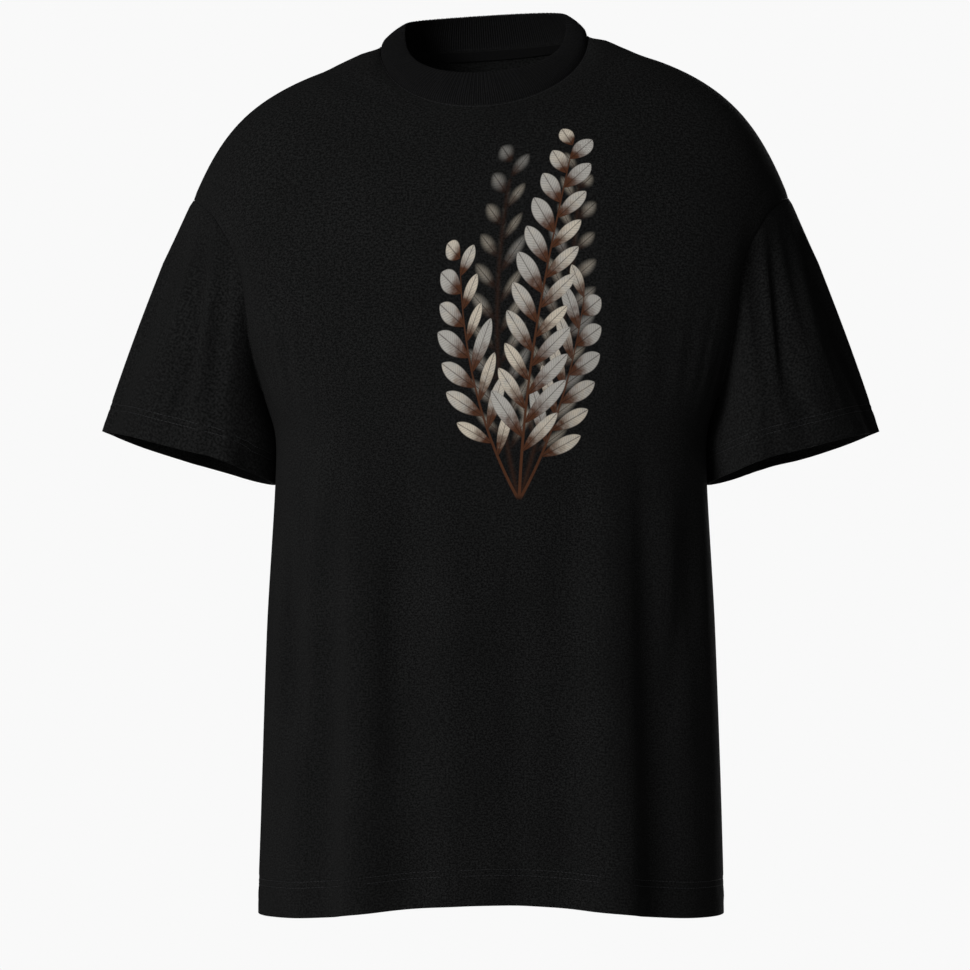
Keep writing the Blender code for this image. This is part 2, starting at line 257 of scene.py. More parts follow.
def hang():
    """Simulates the sheet as cloth and applies the result."""
    fillings = [filling(number) for number in (0, 2, 3)]
    weigh("held", HOLD_LEVELS)
    weigh("slack", SLACK_LEVELS)
    cloth = shirt.modifiers.new("cloth", "CLOTH")
    for name, value in JERSEY_GIVE.items():
        setattr(cloth.settings, name, value)
    cloth.settings.vertex_group_shrink = "slack"
    cloth.settings.shrink_min = 0.0
    cloth.settings.shrink_max = -SLACK
    cloth.settings.vertex_group_mass = "held"
    cloth.collision_settings.distance_min = CLOTH_OFF_FORM
    cloth.collision_settings.use_self_collision = False
    cloth.point_cache.frame_end = HANG_FRAMES
    for number in range(1, HANG_FRAMES + 1):
        bpy.context.scene.frame_set(number)
    activate(shirt)
    bpy.ops.object.modifier_apply(modifier=cloth.name)
    for form in fillings:
        bpy.data.objects.remove(form)


def places(piece):
    """The piece's vertices as an array."""
    flat = np.empty(len(piece.data.vertices) * 3)
    piece.data.vertices.foreach_get("co", flat)
    return flat.reshape(-1, 3)


def put(piece, array):
    piece.data.vertices.foreach_set("co", array.reshape(-1))
    piece.data.update()


def spread(piece, values, rounds):
    """The values evened out with their neighbours' along the piece's edges."""
    pairs = np.empty(len(piece.data.edges) * 2, int)
    piece.data.edges.foreach_get("vertices", pairs)
    a, b = pairs.reshape(-1, 2).T
    count = np.bincount(pairs, minlength=len(values))[:, None]
    for _ in range(rounds):
        total = np.zeros_like(values)
        np.add.at(total, a, values[b])
        np.add.at(total, b, values[a])
        values = 0.5 * values + 0.5 * total / count
    return values


apply_modifier(shirt, "SUBSURF", levels=1, render_levels=1)
as_cut = places(shirt)
hang()
moves = places(shirt) - as_cut
moves -= DRIFT_TAKEN_BACK * spread(shirt, moves, DRIFT_ROUNDS)
under_arm = np.zeros((len(moves), 1))
number = shirt.data.attributes["panel"].data
far, near = UNDERARM_HOLD
for f in shirt.data.polygons:
    if number[f.index].value >= 2:
        for v in f.vertices:
            under_arm[v] = smooth((far - abs(as_cut[v, 0])) / (far - near))
under_arm = spread(shirt, under_arm, SLEEVE_BLEND)
top, foot = UNDERARM_LEAN_Z
lean = UNDERARM_LEAN * under_arm[:, 0]
lean = lean * [smooth((z - top) / (foot - top)) for z in as_cut[:, 2]]
hung = as_cut + moves * (1 - under_arm)
hung[:, 0] -= np.sign(as_cut[:, 0]) * lean
put(shirt, hung)

# The sewn shirt in finer faces. Over the shoulders and the chest, where the cloth lies close, what is
# left of the coarse faces is eased out, but the neckline stays as it is cut.
YOKE_EASE_ROUNDS = 60
YOKE_EASE_FROM_NECK = (0.020, 0.050)  # none nearer to the neckline than this, and all from there on
YOKE_EASE_Z = (-0.20, -0.14)
FAR = 9.0  # stands for any distance past a search's limit
HEM_BELOW = -0.5  # the body's open edge lower than this is its hem, and the other one the neckline


def distances(piece, starts, limit):
    """How far each vertex lies from the nearest start, along the piece's edges."""
    near = [[] for _ in piece.data.vertices]
    for e in piece.data.edges:
        a, b = e.vertices
        length = (piece.data.vertices[a].co - piece.data.vertices[b].co).length
        near[a].append((b, length))
        near[b].append((a, length))
    found = np.full(len(near), FAR)
    queue = [(0.0, v) for v in starts]
    found[list(starts)] = 0.0
    heapq.heapify(queue)
    while queue:
        gone, v = heapq.heappop(queue)
        if gone > found[v] or gone > limit:
            continue
        for other, length in near[v]:
            if gone + length < found[other]:
                found[other] = gone + length
                heapq.heappush(queue, (gone + length, other))
    return found


def borders(piece):
    """The vertices on the body's hem, the sleeves' hems, the neckline and the seams, as sets."""
    number = np.empty(len(piece.data.polygons), int)
    piece.data.attributes["panel"].data.foreach_get("value", number)
    beside = {}
    for f in piece.data.polygons:
        for key in f.edge_keys:
            beside.setdefault(key, []).append(number[f.index])
    found = {"hem": set(), "sleeve_hem": set(), "neck": set(), "seam": set()}
    for key, panels in beside.items():
        middle = sum((piece.data.vertices[v].co for v in key), Vector()) / 2
        if len(panels) > 1:
            if panels[0] != panels[1]:
                found["seam"].update(key)
        elif panels[0] >= 2:
            found["sleeve_hem"].update(key)
        elif middle.z < HEM_BELOW:
            found["hem"].update(key)
        else:
            found["neck"].update(key)
    return found


apply_modifier(shirt, "SUBSURF", levels=1, render_levels=1)
edges = borders(shirt)
from_neck = distances(shirt, edges["neck"], YOKE_EASE_FROM_NECK[1])
spots = places(shirt)
none, full = YOKE_EASE_FROM_NECK
ease = np.clip((from_neck - none) / (full - none), 0, 1)
none, full = YOKE_EASE_Z
ease *= np.clip((spots[:, 2] - none) / (full - none), 0, 1)
eased = spread(shirt, spots, YOKE_EASE_ROUNDS)
put(shirt, spots + (eased - spots) * ease[:, None])


# The broad folds, which hang where the cloth is drawn. They run down from the chest, the back and the
# underarms, a few lie along the sleeves, and three faint ones cross the shoulders.
FOLD_FADE = 0.3  # share of a fold's length over which each end fades
FOLD_FACING = 1.5  # how soon a fold is whole as the cloth turns to the front or the back
# Where each fold starts and ends, across and up, its half width, and how far it stands out
FRONT_FOLDS = (
    ((-0.130, -0.30), (-0.124, -0.56), 0.017, 0.0050),
    ((-0.083, -0.42), (-0.079, -0.68), 0.014, -0.0045),
    ((-0.035, -0.32), (-0.039, -0.98), 0.020, 0.0050),
    ((0.018, -0.40), (0.025, -0.98), 0.018, -0.0050),
    ((0.082, -0.38), (0.086, -0.98), 0.022, 0.0045),
    ((-0.183, -0.38), (-0.158, -0.64), 0.010, -0.0050),
    ((0.178, -0.36), (0.150, -0.62), 0.012, -0.0050),
    ((-0.064, -0.070), (-0.175, -0.028), 0.008, -0.0022),
    ((-0.060, -0.098), (-0.180, -0.075), 0.012, -0.0018),
    ((0.085, -0.062), (0.190, -0.078), 0.010, -0.0020),
    ((-0.222, -0.17), (-0.238, -0.42), 0.012, -0.0040),
    ((-0.262, -0.18), (-0.288, -0.42), 0.016, 0.0030),
    ((0.220, -0.16), (0.247, -0.42), 0.011, -0.0045),
    ((0.258, -0.18), (0.290, -0.42), 0.016, 0.0035),
)
BACK_FOLDS = (
    ((-0.120, -0.22), (-0.105, -0.98), 0.022, -0.0050),
    ((-0.045, -0.30), (-0.050, -0.98), 0.020, 0.0045),
    ((0.030, -0.26), (0.020, -0.98), 0.020, -0.0045),
    ((0.115, -0.24), (0.100, -0.98), 0.024, 0.0050),
    ((-0.225, -0.18), (-0.250, -0.42), 0.014, -0.0040),
    ((0.228, -0.18), (0.252, -0.42), 0.014, -0.0040),
)


def dent(distance, reach):
    """1 on a line, falling to nothing a little past the reach on both sides."""
    return np.exp(-((distance / reach) ** 2))


def folded(places_now, ways_out, folds, facing):
    """How far the folds of the front, facing -1, or of the back, facing 1, move each place out."""
    out = np.zeros(len(places_now))
    for start, end, width, height in folds:
        line = np.subtract(end, start)
        offset = places_now[:, (0, 2)] - start
        share = offset @ line / (line @ line)
        aside = (offset[:, 0] * line[1] - offset[:, 1] * line[0]) / np.hypot(*line)
        ends = np.clip(np.minimum(share, 1 - share) / FOLD_FADE, 0, 1)
        out += height * ends * ends * (3 - 2 * ends) * dent(aside, width)
    return out * np.clip(FOLD_FACING * facing * ways_out[:, 1], 0, 1)


def outward(piece):
    """Each vertex's way out, as an array."""
    flat = np.empty(len(piece.data.vertices) * 3)
    piece.data.vertices.foreach_get("normal", flat)
    return flat.reshape(-1, 3)


spots, ways = places(shirt), outward(shirt)
moved = folded(spots, ways, FRONT_FOLDS, -1) + folded(spots, ways, BACK_FOLDS, 1)
put(shirt, spots + ways * moved[:, None])


# The seams and the hems. Along every seam the cloth turns in a little. The hems are turned up once,
# in finer faces, and are drawn in along both rows of stitches, with small puckers between them.
SEAM_DEPTH = 0.0010
SEAM_REACH = 0.0035
SEAM_SEARCH = 0.03
BODY_HEM = 0.030  # height of the turned-up cloth
SLEEVE_HEM = 0.025
HEM_FINE = 0.038  # faces nearer to a hem's edge than this are divided once more
HEM_SEARCH = 0.12
HEM_EVENING = 24  # rounds that take off the steps of distances measured along edges
NEEDLE_GAP = 0.0050  # between a hem's two rows of stitches
ROW_DEPTH = 0.0004
ROW_REACH = 0.0016
PUCKER = 0.0005
PUCKERS_BELOW_ROW = 0.012  # middle of the puckered band, and half its width
PUCKERS_HALF_WIDTH = 0.016
PUCKERS_PER_METRE = 130


def evened_distances(piece, starts):
    """How far each vertex lies from the nearest start, without the steps that edges give it."""
    return spread(piece, distances(piece, starts, HEM_SEARCH)[:, None], HEM_EVENING)[:, 0]


from_hem = distances(shirt, edges["hem"] | edges["sleeve_hem"], HEM_FINE)
editing(shirt)
bpy.ops.mesh.select_mode(type="FACE")
mesh = bmesh.from_edit_mesh(shirt.data)
for f in mesh.faces:
    f.select_set(all(from_hem[v.index] < HEM_FINE for v in f.verts))
bmesh.update_edit_mesh(shirt.data)
bpy.ops.mesh.subdivide(number_cuts=1)
done()

edges = borders(shirt)
spots = places(shirt)
from_seam = distances(shirt, edges["seam"] | edges["neck"], SEAM_SEARCH)
from_body_hem = evened_distances(shirt, edges["hem"])
from_sleeve_hem = evened_distances(shirt, edges["sleeve_hem"])
inward = SEAM_DEPTH * dent(from_seam, SEAM_REACH)
for from_hem, height in ((from_body_hem, BODY_HEM), (from_sleeve_hem, SLEEVE_HEM)):
    for row in (height, height - NEEDLE_GAP):
        inward += ROW_DEPTH * dent(from_hem - row, ROW_REACH)
    off_middle = np.abs(from_hem - height + PUCKERS_BELOW_ROW)
    puckered = np.clip(1 - off_middle / PUCKERS_HALF_WIDTH, 0, 1)
    inward += PUCKER * puckered * [noise.noise(Vector(p) * PUCKERS_PER_METRE) for p in spots]
put(shirt, spots - outward(shirt) * inward[:, None])
from_edge = shirt.data.attributes.new("from_edge", "FLOAT", "POINT")
from_edge.data.foreach_set("value", np.minimum(from_body_hem, from_sleeve_hem))


# Black cotton jersey. On its face each column of stitches is a row of small Vs, and on its back the
# same yarn shows as rows of arcs. The yarn is a little uneven and has a short fuzz.
WALE = 0.00095  # width of one column of stitches
COURSE = 0.00072  # height of one row of stitches
# The grey is the yarn's lighter specks, and in a small share painted light on the stitches' raised
# loops.
JERSEY_BLACK = (0.0030, 0.0031, 0.0031)
JERSEY_GREY = (0.0158, 0.0162, 0.0161)
GRAIN = 0.0016  # size of the uneven yarn's lighter specks
SLUB = 0.0011  # height of the thicker stretches of yarn, which are four times as long
CLOUD = 0.060  # size of the soft lighter and darker areas
KNIT_RELIEF = 0.00028
JERSEY_ROUGHNESS = 0.92


class Value:
    """A number that varies over a surface, with the usual operators."""

    def __init__(self, socket, finish):
        self.socket = socket
        self.finish = finish

    def __add__(self, other):
        return self.finish.math("ADD", self, other)

    def __radd__(self, other):
        return self.finish.math("ADD", other, self)

    def __sub__(self, other):
        return self.finish.math("SUBTRACT", self, other)

    def __rsub__(self, other):
        return self.finish.math("SUBTRACT", other, self)

    def __mul__(self, other):
        return self.finish.math("MULTIPLY", self, other)

    def __rmul__(self, other):
        return self.finish.math("MULTIPLY", other, self)

    def __truediv__(self, other):
        return self.finish.math("DIVIDE", self, other)

    def __abs__(self):
        return self.finish.math("ABSOLUTE", self)

    def __pow__(self, other):
        return self.finish.math("POWER", self, other)


class Finish:
    """A material, and the making of its nodes."""

    def __init__(self, name, roughness, specular=0.3, sheen=0.0):
        self.material = bpy.data.materials.new(name)
        self.material.use_nodes = True
        self.tree = self.material.node_tree
        self.shader = self.tree.nodes["Principled BSDF"]
        self.shader.inputs["Roughness"].default_value = roughness
        self.shader.inputs["Specular IOR Level"].default_value = specular
        self.shader.inputs["Sheen Weight"].default_value = sheen

    def node(self, kind, settings, sockets):
        """A node of that type, with its settings made first and then its sockets' values or links."""
        made = self.tree.nodes.new("ShaderNode" + kind)
        for name, value in settings.items():
            setattr(made, name, value)
        for key, value in sockets.items():
            if isinstance(value, Value):
                self.tree.links.new(value.socket, made.inputs[key])
            else:
                made.inputs[key].default_value = value
        return made

    def math(self, operation, *values):
        made = self.node("Math", {"operation": operation}, dict(enumerate(values)))
        return Value(made.outputs[0], self)

    def ramp(self, value, low, high):
        """0 up to the low value, 1 from the high one, and an even bend between."""
        settings = {"interpolation_type": "SMOOTHSTEP"}
        made = self.node("MapRange", settings, {"Value": value, "From Min": low, "From Max": high})
        return Value(made.outputs[0], self)

    def mix(self, share, a, b):
        """The colour that is a where the share is 0 and b where it is 1."""
        sockets = {0: share}
        for key, colour in ((6, a), (7, b)):
            sockets[key] = colour if isinstance(colour, Value) else (*colour, 1.0)
        made = self.node("Mix", {"data_type": "RGBA"}, sockets)
        return Value(made.outputs[2], self)

    def flat_place(self):
        """The place on the flat cut piece, across and up, in metres."""
        place = self.node("UVMap", {"uv_map": "cut"}, {})
        parts = self.node("SeparateXYZ", {}, {0: Value(place.outputs[0], self)})
        return Value(parts.outputs[0], self), Value(parts.outputs[1], self)

    def speckle(self, u, v, size, detail=2.0):
        """Soft noise between 0 and 1 with spots of about that size."""
        place = self.node("CombineXYZ", {}, {0: u / size, 1: v / size})
        sockets = {"Vector": Value(place.outputs[0], self), "Scale": 1.0, "Detail": detail}
        made = self.node("TexNoise", {"noise_dimensions": "2D"}, sockets)
        return Value(made.outputs[0], self)

    def raise_by(self, height, relief):
        """Lets a height between 0 and 1 stand out by that relief."""
        made = self.node("Bump", {}, {"Height": height, "Distance": relief, "Strength": 1.0})
        self.tree.links.new(made.outputs[0], self.shader.inputs["Normal"])

    def colour(self, value):
        self.tree.links.new(value.socket, self.shader.inputs["Base Color"])

    def roughness(self, value):
        self.tree.links.new(value.socket, self.shader.inputs["Roughness"])


def wave(finish, turns):
    """Between 0 and 1, once round for each whole turn."""
    return 0.5 + 0.5 * finish.math("COSINE", turns * (2 * math.pi))


def knit_face(finish, u, v):
    """Height of the yarn on the face of the jersey: two slanting legs to each column."""
    across = abs(finish.math("FRACT", u / WALE) - 0.5)
    leg = 1 - 16.0 * (across - 0.25) ** 2
    return leg * (0.45 + 0.55 * wave(finish, v / COURSE + across * 1.3))


def knit_back(finish, u, v):
    """Height of the yarn on the back of the jersey: a row of arcs."""
    arc = 0.22 * finish.math("COSINE", u * (2 * math.pi / WALE))
    return 0.3 + 0.7 * wave(finish, v / COURSE + arc)


def jersey(name, knit):
    """The jersey with one of its sides showing; returns its finish, its place and its plain colour, in
    which the stitches' raised loops are painted a little lighter than the hollows between them.
    """
    finish = Finish(name, JERSEY_ROUGHNESS, specular=0.08, sheen=0.01)
    u, v = finish.flat_place()
    yarn = knit(finish, u, v)
    grain = finish.speckle(u, v, GRAIN)
    slub = finish.speckle(u * 0.25, v, SLUB)
    cloud = finish.speckle(u, v, CLOUD)
    # Mostly the yarn's own uneven tone; a tenth follows the yarn's height, which is painted shade:
    # darker in the hollows between the stitches, lighter on their raised loops.
    light = finish.ramp(grain * 0.60 + slub * 0.30 + yarn * 0.10, 0.36, 0.66)
    colour = finish.mix(light * (0.65 + 0.5 * cloud), JERSEY_BLACK, JERSEY_GREY)
    finish.raise_by(yarn * 0.8 + grain * 0.35, KNIT_RELIEF)
    return finish, (u, v), colour


jersey_face, _, face_colour = jersey("jersey_face", knit_face)
jersey_face.colour(face_colour)
jersey_back, _, back_colour = jersey("jersey_back", knit_back)
jersey_back.colour(back_colour)


# The printed design, sprays of long leaves that fan out from one foot. The ink is cream and silver
# towards the leaves' tips and brown at their stalks, and two sprays behind are printed out of focus.
PRINT_FOOT = Vector((0.530, 0.652))  # on the flat cut of the front
LEAF_ANGLE = math.radians(38)
LEAF_PITCH = 0.024
LEAF_LENGTH = 0.047
LEAF_HALF_WIDTH = 0.0066
LEAF_SHAPE = 0.75  # under 1 makes the leaves fuller towards both ends
SMALLEST_LEAF = 0.85  # as a share of the usual length, which chance adds to
LEAF_CHANCE = 0.25
TIP_LEAF_LOSS = 0.55  # how much shorter the last leaves of a spray are
FIRST_LEAF = 1.5  # the stalk is bare below this one
STALK_HALF_WIDTH = 0.0011
VEIN_PITCH = 0.0026
RIM = 0.0012  # width of the darker edge of each leaf
MOTTLE = 0.006
WORN_SPOT = 0.0009  # size of the spots where the ink is thin
SHARP = 0.00035
SOFT = 0.0030
CREAM = (0.74, 0.66, 0.54)
SILVER = (0.54, 0.52, 0.48)
BROWN = (0.090, 0.034, 0.016)
DARK_BROWN = (0.026, 0.011, 0.007)
# Each spray's lean in degrees, its bend, its length, how sharp it is and how strong
SPRAYS = (
    (-15, 0.9, 0.255, SOFT, 0.38),
    (17, -0.5, 0.265, SOFT, 0.42),
    (-30, 1.5, 0.190, SHARP, 0.95),
    (29, -1.3, 0.175, SHARP, 0.90),
    (2, 0.35, 0.285, SHARP, 1.0),
)
INK_ROUGHNESS = 0.72


def spray(finish, u, v, number):
    """Where one spray covers the cloth, and its colour."""
    lean, bend, length, blur, _ = SPRAYS[number]
    rise, lie = math.cos(math.radians(lean)), math.sin(math.radians(lean))
    along = (u - PRINT_FOOT.x) * lie + (v - PRINT_FOOT.y) * rise
    across = (u - PRINT_FOOT.x) * rise - (v - PRINT_FOOT.y) * lie - bend * along * along
    aside = abs(across)
    left = finish.math("SIGN", across)
    stagger = along + left * (LEAF_PITCH / 4)
    step = LEAF_PITCH * math.sin(LEAF_ANGLE)
    place = (stagger * math.sin(LEAF_ANGLE) - aside * math.cos(LEAF_ANGLE)) / step
    leaf = finish.math("ROUND", place)
    off = abs(place - leaf) * step
    seed = finish.node("CombineXYZ", {}, {0: leaf * 1.7 + 13.0 * number, 1: left * 2.3})
    seed = Value(seed.outputs[0], finish)
    chance = finish.node("TexWhiteNoise", {"noise_dimensions": "2D"}, {"Vector": seed})
    chance = Value(chance.outputs["Value"], finish)
    count = length / LEAF_PITCH
    size = LEAF_LENGTH * (SMALLEST_LEAF + LEAF_CHANCE * chance)
    size = size * (1 - TIP_LEAF_LOSS * (leaf / count) ** 2)
    reach = stagger * math.cos(LEAF_ANGLE) + aside * math.sin(LEAF_ANGLE)
    share = (reach - leaf * (LEAF_PITCH * math.cos(LEAF_ANGLE))) / size
    belly = finish.math("MAXIMUM", share * (1 - share) * 4, 0.0) ** LEAF_SHAPE
    margin = belly * (0.75 + 0.5 * share) * LEAF_HALF_WIDTH * (0.8 + 0.3 * chance) - off
    here = finish.math("GREATER_THAN", leaf, FIRST_LEAF)
    here = here * finish.math("LESS_THAN", leaf, count + 0.5)
    cover = finish.ramp(margin, 0.0, 2 * blur) * here
    stalk = finish.ramp(STALK_HALF_WIDTH * (1.2 - along / length * 0.8) - aside, -blur, blur)
    stalk = stalk * finish.ramp(along, 0.0, 0.006) * finish.ramp(along, length + 0.004, length)
    mottle = finish.speckle(u, v, MOTTLE)
    ripe = finish.ramp(share + mottle * 0.35 - 0.18, 0.16, 0.66)
    pale = finish.mix(finish.ramp(chance + mottle * 0.6, 0.5, 1.1), CREAM, SILVER)
    colour = finish.mix(ripe, BROWN, pale)
    vein = abs(finish.math("FRACT", (share * size - off * 0.9) / VEIN_PITCH) - 0.5)
    lines = finish.ramp(vein, 0.34, 0.48) * 0.55
    rib_line = finish.ramp(off, 0.0006, 0.0002)
    rim = finish.ramp(margin, RIM, RIM / 6)
    dark = finish.math("MAXIMUM", finish.math("MAXIMUM", lines, rib_line), rim * 0.8)
    colour = finish.mix(dark * (0.35 + 0.5 * mottle), colour, DARK_BROWN)
    colour = finish.mix(stalk * (1 - cover * 0.5), colour, BROWN)
    return finish.math("MAXIMUM", cover, stalk), colour


def printed(finish, u, v, colour):
    """The cloth's colour with the design on it, and how much ink there is."""
    ink = 0.0
    for number, (*_, strength) in enumerate(SPRAYS):
        cover, leaves = spray(finish, u, v, number)
        cover = cover * strength
        colour = finish.mix(cover, colour, leaves)
        ink = finish.math("MAXIMUM", cover, ink)
    return colour, ink


jersey_print, (print_u, print_v), print_cloth = jersey("jersey_print", knit_face)
print_colour, ink = printed(jersey_print, print_u, print_v, print_cloth)
worn = jersey_print.ramp(jersey_print.speckle(print_u, print_v, WORN_SPOT), 0.62, 0.85) * 0.5
jersey_print.colour(jersey_print.mix(worn, print_colour, JERSEY_BLACK))
jersey_print.roughness(JERSEY_ROUGHNESS - ink * (JERSEY_ROUGHNESS - INK_ROUGHNESS))


# The four panels, each cut from the sewn shirt as a piece of its own. Every one has its cloth's
# thickness, which is double where the hem is turned up, and the places of its flat cut, in metres.
CLOTH = 0.0011
SEAM_GAP = 0.0004
EDGE_ROUND = 0.0004
SHARP_EDGE = math.radians(60)
CUT_ORIGIN = Vector((0.5, 0.9))  # where the cut's top middle lies
UNDERARM_FAR = 0.020  # a sleeve's open edge farther than this from the hem is its armhole
# Two places on each panel, one above the other on the cut, and its flat width, length and area
CUTS = {
    "front_panel": ((-0.005, -0.14, -0.55), (-0.005, -0.14, -0.15), (0.60, 0.78, 0.405)),
    "back_panel": ((-0.005, 0.13, -0.55), (-0.005, 0.13, -0.15), (0.60, 0.80, 0.410)),
    "sleeve_left": ((0.33, 0.0, -0.33), (0.27, 0.0, -0.16), (0.47, 0.23, 0.073)),
    "sleeve_right": ((-0.33, 0.0, -0.33), (-0.27, 0.0, -0.16), (0.47, 0.23, 0.073)),
}


def panel_piece(number):
    """One panel as a separate object, cut along its seams."""
    activate(shirt)
    bpy.ops.object.duplicate()
    piece = bpy.context.object
    piece.name = PANELS[number].replace("_panel", "") + "_cloth"
    mesh = bmesh.new()
    mesh.from_mesh(piece.data)
    layer = mesh.faces.layers.int["panel"]
    theirs = [f for f in mesh.faces if f[layer] != number]
    for v in mesh.verts:
        mine = [f.calc_center_median() for f in v.link_faces if f[layer] == number]
        others = [f.calc_center_median() for f in v.link_faces if f[layer] != number]
        if mine and others:
            away = sum(mine, Vector()) / len(mine) - sum(others, Vector()) / len(others)
            v.co += away.normalized() * SEAM_GAP / 2
    bmesh.ops.delete(mesh, geom=theirs, context="FACES")
    mesh.to_mesh(piece.data)
    mesh.free()
    return piece


def closest(piece, place):
    place = Vector(place)
    return min(piece.data.vertices, key=lambda v: (v.co - place).length_squared).index


def open_underarm(piece):
    """Marks the sleeve's seam, which runs below the arm from the armhole to the hem."""
    from_edge = piece.data.attributes["from_edge"].data
    border = borders(piece)["sleeve_hem"]
    hem = [v for v in border if from_edge[v].value < UNDERARM_FAR]
    armhole = [v for v in border if from_edge[v].value >= UNDERARM_FAR]
    spots = piece.data.vertices
    ends = [min(ring, key=lambda v: abs(spots[v].co.x)) for ring in (hem, armhole)]
    editing(piece)
    bpy.ops.mesh.select_all(action="DESELECT")
    mesh = bmesh.from_edit_mesh(piece.data)
    mesh.verts.ensure_lookup_table()
    for index in ends:
        mesh.verts[index].select_set(True)
    bmesh.update_edit_mesh(piece.data)
    bpy.ops.mesh.shortest_path_select(edge_mode="SELECT")
    bpy.ops.mesh.mark_seam()
    done()


def bare_map(piece):
    """Gives the piece one empty map in place of those that it has, and returns its places."""
    while piece.data.uv_layers:
        piece.data.uv_layers.remove(piece.data.uv_layers[0])
    return piece.data.uv_layers.new(name="cut").uv


def lay_flat(piece, low, high):
    """Gives the piece a map of its flat cut in metres, upright and with its top in the same place."""
    bare_map(piece)
    editing(piece)
    bpy.ops.uv.unwrap(method="CONFORMAL", margin=0)
    done()
    uv = piece.data.uv_layers["cut"].uv
    of_vertex = {loop.vertex_index: Vector(uv[loop.index].vector) for loop in piece.data.loops}
    surface = drawn = 0.0
    for f in piece.data.polygons:
        surface += f.area
        drawn += abs(geometry.area_tri(*(of_vertex[v].to_3d() for v in f.vertices[:3])))
        for k in range(3, len(f.vertices)):
            ring = (f.vertices[0], f.vertices[k - 1], f.vertices[k])
            drawn += abs(geometry.area_tri(*(of_vertex[v].to_3d() for v in ring)))
    foot, head = of_vertex[closest(piece, low)], of_vertex[closest(piece, high)]
    up = head - foot
    turn = Matrix.Rotation(math.pi / 2 - math.atan2(up.y, up.x), 2)
    scale = math.sqrt(surface / drawn)
    for place in uv:
        place.vector = CUT_ORIGIN + turn @ (Vector(place.vector) - head) * scale


def thicken(piece, hem_height):
    """Gives the cloth its thickness inward, double on the hem, and rounds its cut edges."""
    group = piece.vertex_groups.new(name="cloth")
    from_edge = piece.data.attributes["from_edge"].data
    for v in piece.data.vertices:
        doubled = from_edge[v.index].value < hem_height + 0.001
        group.add([v.index], 1.0 if doubled else 0.5, "REPLACE")
    apply_modifier(
        piece, "SOLIDIFY", thickness=2 * CLOTH, offset=-1, vertex_group="cloth", material_offset=1
    )
    apply_modifier(
        piece, "BEVEL", width=EDGE_ROUND, segments=2, limit_method="ANGLE", angle_limit=SHARP_EDGE
    )
    piece.data.shade_smooth()


def finish_panel(number, face):
    """Makes one panel of the shirt, with that finish on its face, in place of its CAD node on the root
    body.
    """
    node = PANELS[number]
    piece = panel_piece(number)
    low, high, (width, length, area) = CUTS[node]
    if number >= 2:
        open_underarm(piece)
    lay_flat(piece, low, high)
    piece.data.materials.clear()
    piece.data.materials.append(face.material)
    piece.data.materials.append(jersey_back.material)
    for f in piece.data.polygons:
        f.material_index = 0
    thicken(piece, BODY_HEM if number < 2 else SLEEVE_HEM)
    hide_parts(node)
    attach(piece, "root")


for number in range(len(PANELS)):
    finish_panel(number, jersey_print if number == 0 else jersey_face)


# The sewing thread. Both hems are sewn with twin needles, in two rows of stitches right round, and
# one row holds the collar's seam down. Each stitch is a short loop of thread that sinks in at its ends.
THREAD = 0.00052
STITCH = 0.0030
STITCH_PITCH = 0.0034
STITCH_LIFT = 0.12 * THREAD
ROW_EVENING = 6  # rounds that take the small turns off a row
SHORTEST_ROW = 20  # in places; what is shorter is no row
THREAD_BLACK = (0.024, 0.024, 0.026)
TWIST_SCALE = 900.0
NECK_ROW = 0.0028  # below the collar's seam
NECK_SEARCH = 0.02

thread = Finish("thread", 0.55, specular=0.25)
twist_place = thread.node("TexCoord", {}, {})
twist = thread.node("TexWave", {"wave_type": "BANDS"}, {"Scale": TWIST_SCALE, "Distortion": 2.0})
thread.tree.links.new(twist_place.outputs["Object"], twist.inputs["Vector"])
thread.colour(thread.mix(Value(twist.outputs["Fac"], thread) * 0.6, THREAD_BLACK, JERSEY_BLACK))


def level_lines(piece, values, level):
    """Closed lines along which the values pass the level, as lists of places and ways out."""
    vertices = piece.data.vertices
    beside = {}
    for f in piece.data.polygons:
        cut = [key for key in f.edge_keys if (values[key[0]] < level) != (values[key[1]] < level)]
        if len(cut) == 2:
            beside.setdefault(cut[0], []).append(cut[1])
            beside.setdefault(cut[1], []).append(cut[0])
    lines = []
    while beside:
        key = next(iter(beside))
        line = []
        while key in beside:
            a, b = key
            share = (level - values[a]) / (values[b] - values[a])
            place = vertices[a].co.lerp(vertices[b].co, share)
            line.append((place, vertices[a].normal.lerp(vertices[b].normal, share).normalized()))
            onward = [other for other in beside.pop(key) if other in beside]
            key = onward[0] if onward else None
        if len(line) > SHORTEST_ROW:
            lines.append(line)
    return lines


def evened(line, rounds):
    """A closed line of places and ways out, with its small turns taken off."""
    for _ in range(rounds):
        line = [
            tuple((a[k] + 2 * b[k] + c[k]) / 4 for k in (0, 1))
            for a, b, c in zip(line[-1:] + line[:-1], line, line[1:] + line[:1])
        ]
    return line


def steps_along(line, pitch):
    """Places, directions and ways out at even steps along a closed line."""
    lengths = [(b[0] - a[0]).length for a, b in zip(line, line[1:] + line[:1])]
    count = round(sum(lengths) / pitch)
    step = sum(lengths) / count
    found, gone, number = [], 0.0, 0
    for i, length in enumerate(lengths):
        (a, up_a), (b, up_b) = line[i], line[(i + 1) % len(line)]
        while number < count and number * step <= gone + length:
            share = (number * step - gone) / length
            found.append((a.lerp(b, share), (b - a).normalized(), up_a.lerp(up_b, share).normalized()))
            number += 1
        gone += length
    return found


def one_stitch():
    """A stitch at the origin along X, whose top faces +Z."""
    bpy.ops.object.select_all(action="DESELECT")
    bpy.ops.mesh.primitive_uv_sphere_add(segments=6, ring_count=5, radius=THREAD / 2)
    stitch = bpy.context.object
    bpy.ops.object.mode_set(mode="EDIT")
    bpy.ops.mesh.select_all(action="SELECT")
    bpy.ops.transform.rotate(value=math.pi / 2, orient_axis="Y", center_override=(0, 0, 0))
    bpy.ops.transform.resize(value=(STITCH / THREAD, 1.0, 0.9))
    done()
    return stitch


